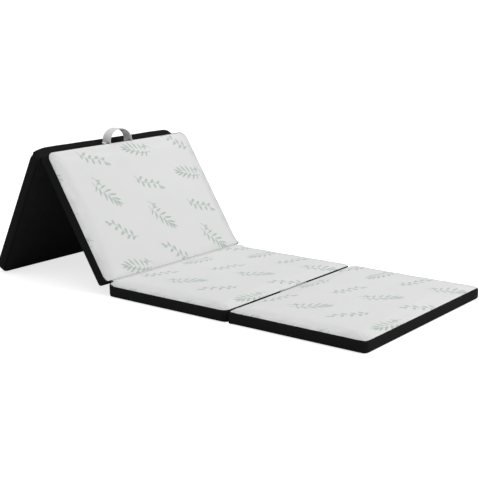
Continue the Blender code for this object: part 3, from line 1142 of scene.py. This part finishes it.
def makeLoopEnd(name, node):
    # A flat end of the webbing, sewn down on the back panel's end wall
    place = places["back"]
    low, high = localBox(node, place)
    centre = (low + high) / 2
    bm = stripGrid(high.y - low.y, high.z - low.z, loopEnd["alongSteps"], loopEnd["acrossSteps"])
    for vertex in bm.verts:
        vertex.co = place @ Vector((high.x, centre.y + vertex.co.x, centre.z + vertex.co.y))
    finishStrip(bm, name, place, 0, centre.x, high.x - low.x, webbingSlot, "back_panel", node)
    return low, high


stitch = {"length": 0.0026, "pitch": 0.0036, "thick": 0.0005, "margin": 0.003, "proud": 0.0002, "shade": 60.0}


def stitchAlong(bm, start, end, place, outward):
    # A row of small rounded stitches from start to end, both in the panel's own frame
    count = max(1, int((end - start).length / stitch["pitch"]))
    run = (end - start).normalized()
    side = run.cross(outward).normalized()
    basis = Matrix((run, side, outward)).transposed().to_4x4()
    size = Matrix.Diagonal((stitch["length"] / 2, stitch["thick"] / 2, stitch["thick"] / 2, 1.0))
    for k in range(count):
        centre = Matrix.Translation(start.lerp(end, (k + 0.5) / count))
        bmesh.ops.create_icosphere(bm, subdivisions=1, radius=1.0, matrix=place @ centre @ basis @ size)


def makeLoopStitches(name, low, high):
    # A box of stitches with a cross in it
    margin = stitch["margin"]
    x = low.x - stitch["proud"]
    left, right = low.y + margin, high.y - margin
    bottom, top = low.z + margin, high.z - margin
    corners = [Vector((x, y, z)) for y, z in ((left, bottom), (right, bottom), (right, top), (left, top))]
    bm = bmesh.new()
    for start, end in ((0, 1), (1, 2), (2, 3), (3, 0), (0, 2), (1, 3)):
        stitchAlong(bm, corners[start], corners[end], places["back"], Vector((-1.0, 0.0, 0.0)))
    obj = newObject(name, bm)
    shadeSmooth(obj, stitch["shade"])
    dress(obj, "thread", "grey_webbing", "back_panel")


makeCarryLoop()
for name, node in (("nearLoopEnd", "near_handle_end"), ("farLoopEnd", "far_handle_end")):
    makeLoopStitches(name + "Stitches", *makeLoopEnd(name, node))
print("carry loop made")


# Second carry handle, pushed down into the gap at the foot hinge
gapHandle = {
    "length": 0.146,
    "width": 0.0295,
    "top": 0.0385,
    "droop": 0.0038,
    "alongSteps": 60,
    "acrossSteps": 10,
}


def makeGapHandle():
    low, high = (Vector(corner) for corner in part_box("foot_handle"))
    bm = stripGrid(gapHandle["length"], gapHandle["width"], gapHandle["alongSteps"], gapHandle["acrossSteps"])
    for vertex in bm.verts:
        along, across = vertex.co.x, vertex.co.y
        share = 2.0 * along / gapHandle["length"]
        height = gapHandle["top"] - gapHandle["droop"] * share * share - gapHandle["width"] / 2 + across
        vertex.co = Vector((low.x, along, height))
    middle, thickness = (low.x + high.x) / 2, high.x - low.x
    finishStrip(bm, "gapHandle", places["mid"], 0, middle, thickness, webbingSlot, "mid_panel", "foot_handle")


makeGapHandle()
print("gap handle made")


# Hinge cloths: strips that run up one end wall, past the axis and up the other
hingeCloth = {"thickness": 0.0007, "offset": 0.00135, "steps": (90, 16), "blendHalf": 0.0014}

# Each cloth's node, joint and turn, its two heights over the axis, its look, and the two bodies it
# joins, with the side on which the first of them lies
blackSlot, whiteSlot = ("blackCloth", "black_cloth"), ("whiteKnit", "white_knit")
hinges = {
    "foot": ("foot_fold", 0.0, (0.0009, 0.0048), blackSlot, ("mid_panel", "foot_panel"), -1),
    "back": ("back_recline", recline, (-0.0009, -0.012), whiteSlot, ("mid_panel", "back_panel"), 1),
    "ridge": ("support_fold", -fold, (0.0009, 0.0048), blackSlot, ("back_panel", "support_panel"), 1),
}


def makeHingeCloth(name):
    node = name + "_hinge_cloth"
    joint, turn, (near, far), look, (first, second), side = hinges[name]
    axis = Vector(joints[joint]["pos_m"])
    low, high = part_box(node)
    width = high[1] - low[1]
    tilt = places["back"].to_3x3() if first == "back_panel" else Matrix.Identity(3)
    turning = Matrix.Rotation(turn, 3, "Y")
    offset = hingeCloth["offset"]
    corners = [
        Vector((offset, 0.0, far)),
        Vector((offset, 0.0, near)),
        turning @ Vector((-offset, 0.0, near)),
        turning @ Vector((-offset, 0.0, far)),
    ]
    lengths = [0.0]
    for start, end in zip(corners, corners[1:]):
        lengths.append(lengths[-1] + (end - start).length)
    total = lengths[-1]
    bm = stripGrid(width, total, *hingeCloth["steps"])
    for vertex in bm.verts:
        way = vertex.co.y + total / 2
        k = max(i for i in range(3) if lengths[i] <= way + 1e-9)
        point = corners[k].lerp(corners[k + 1], (way - lengths[k]) / (lengths[k + 1] - lengths[k]))
        vertex.co = axis + tilt @ Vector((point.x, vertex.co.x, point.z))
    thicken(bm, hingeCloth["thickness"])
    obj = newObject(name + "HingeCloth", bm)
    shadeSmooth(obj, meshing["clothShade"])
    dress(obj, *look, None, node)
    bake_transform(obj)


for name in hinges:
    makeHingeCloth(name)
print("hinge cloths made")


# Zips on the far long side: tape, coil teeth, slider and pull
zipLook = {
    "tapeThickness": 0.0008,
    "tapeSteps": (120, 6),
    "toothPitch": 0.0015,
    "toothLength": 0.0046,
    "toothWidth": 0.00085,
    "toothRise": 0.0011,
    "toothLean": 9.0,
    "toothBevel": 0.0002,
    "bareTeeth": 2,  # teeth left out, shared by the two ends
    "partBevels": {"slider": 0.0004, "pull": 0.00025},
    "partSharp": 30.0,
    "partShade": 40.0,
}


def makeZipTape(name, node, place, low, high):
    centre = (low + high) / 2
    length, tall = high.x - low.x, high.z - low.z
    bm = stripGrid(length, tall, *zipLook["tapeSteps"])
    for vertex in bm.verts:
        vertex.co = place @ Vector((centre.x + vertex.co.x, low.y, centre.z + vertex.co.y))
    thickness = zipLook["tapeThickness"]
    middle, look = low.y + thickness / 2, ("blackCloth", "zip_plastic")
    tape = finishStrip(bm, name + "ZipTape", place, 1, middle, thickness, look, panelBody[name], node)


def makeZipTeeth(name, place, low, high):
    bm = bmesh.new()
    length, bare = high.x - low.x, zipLook["bareTeeth"]
    middle = low.y + zipLook["tapeThickness"] + zipLook["toothRise"] / 2
    count = int(length / zipLook["toothPitch"]) - bare
    lean = Matrix.Rotation(math.radians(zipLook["toothLean"]), 4, "Y")
    size = Matrix.Diagonal((zipLook["toothWidth"], zipLook["toothRise"], zipLook["toothLength"], 1.0))
    for k in range(count):
        along = low.x + (k + (bare + 1) / 2) * length / (count + bare)
        spot = Matrix.Translation((along, middle, (low.z + high.z) / 2))
        bmesh.ops.create_cube(bm, size=1.0, matrix=place @ spot @ lean @ size)
    roundEdges(bm, bm.edges[:], zipLook["toothBevel"], 1)
    teeth = newObject(name + "ZipTeeth", bm)
    shadeSmooth(teeth, meshing["clothShade"])
    dress(teeth, "zipPlastic", "zip_plastic", panelBody[name])


def makeZip(name):
    node = name + "_zip_chain"
    place = places[name]
    low, high = localBox(node, place)
    makeZipTape(name, node, place, low, high)
    makeZipTeeth(name, place, low, high)
    for part, bevel in zipLook["partBevels"].items():
        bm = nodeMesh(name + "_zip_" + part)
        roundEdges(bm, sharpEdges(bm, zipLook["partSharp"]), bevel, 2)
        obj = newObject(name + "Zip" + part.title(), bm)
        shadeSmooth(obj, zipLook["partShade"])
        dress(obj, "zipMetal", "zip_metal", name + "_" + part, name + "_zip_" + part)


for name in panelNames:
    makeZip(name)
print("zips made")


# Floor, light and camera
white = (1.0, 1.0, 1.0, 1.0)
floorLook = {"colour": (0.8, 0.8, 0.8, 1.0), "roughness": 0.9, "specular": 0.1, "size": 400.0, "drop": 0.0006}
studio = {"seenFloor": 0.72, "room": 0.45, "seenRoom": 1.0}


def makeFloor():
    bm = bmesh.new()
    bmesh.ops.create_grid(bm, x_segments=1, y_segments=1, size=floorLook["size"])
    bmesh.ops.translate(bm, verts=bm.verts, vec=(0.0, 0.0, -floorLook["drop"]))
    floor = newObject("floor", bm)
    maker = MaterialMaker("floorWhite", floorLook["specular"])
    # The floor glows for the camera only, so it reads white and keeps its shadow
    seen = maker.node("ShaderNodeLightPath", output="Is Camera Ray")
    for socket, value in (
        ("Base Color", floorLook["colour"]),
        ("Roughness", floorLook["roughness"]),
        ("Emission Color", white),
        ("Emission Strength", seen * studio["seenFloor"]),
    ):
        maker.plug(maker.shader.inputs[socket], value)
    floor.data.materials.append(maker.material)


def makeWorld():
    world = bpy.data.worlds.new("studio")
    scene.world = world
    world.use_nodes = True
    tree = world.node_tree
    tree.nodes.clear()
    output = tree.nodes.new("ShaderNodeOutputWorld")
    mix = tree.nodes.new("ShaderNodeMixShader")
    rays = tree.nodes.new("ShaderNodeLightPath")
    tree.links.new(rays.outputs["Is Camera Ray"], mix.inputs[0])
    for number, strength in enumerate((studio["room"], studio["seenRoom"])):
        sky = tree.nodes.new("ShaderNodeBackground")
        sky.inputs["Color"].default_value = white
        sky.inputs["Strength"].default_value = strength
        tree.links.new(sky.outputs[0], mix.inputs[1 + number])
    tree.links.new(mix.outputs[0], output.inputs["Surface"])


lamps = {
    "keyLamp": {"spot": (3.2, 1.4, 4.0), "target": (0.0, 0.0, 0.1), "size": 2.6, "power": 97.0},
    "topLamp": {"spot": (-0.2, 0.3, 4.2), "target": (-0.1, 0.0, 0.0), "size": 3.2, "power": 45.0},
}


def makeLamp(name):
    lamp = bpy.data.lights.new(name, "AREA")
    lamp.shape = "SQUARE"
    lamp.size = lamps[name]["size"]
    lamp.energy = lamps[name]["power"]
    obj = bpy.data.objects.new(name, lamp)
    scene.collection.objects.link(obj)
    spot, target = Vector(lamps[name]["spot"]), Vector(lamps[name]["target"])
    obj.location = spot
    obj.rotation_euler = (target - spot).to_track_quat("-Z", "Y").to_euler()


camera = {
    "spot": (2.1095, -2.7535, 0.942),
    "pitch": 77.23,
    "yaw": 37.18,
    "focalPixels": 1088.5,
    "framePixels": 479.0,
    "sensor": 36.0,
    "clipEnd": 1500.0,
}


def makeCamera():
    data = bpy.data.cameras.new("camera")
    data.sensor_width = camera["sensor"]
    data.lens = camera["sensor"] * camera["focalPixels"] / camera["framePixels"]
    data.clip_end = camera["clipEnd"]
    obj = bpy.data.objects.new("camera", data)
    scene.collection.objects.link(obj)
    obj.location = camera["spot"]
    obj.rotation_euler = (math.radians(camera["pitch"]), 0.0, math.radians(camera["yaw"]))
    scene.camera = obj


makeFloor()
makeWorld()
for name in lamps:
    makeLamp(name)
makeCamera()
scene.view_settings.view_transform = "Standard"
print("stage, lamps and camera made")
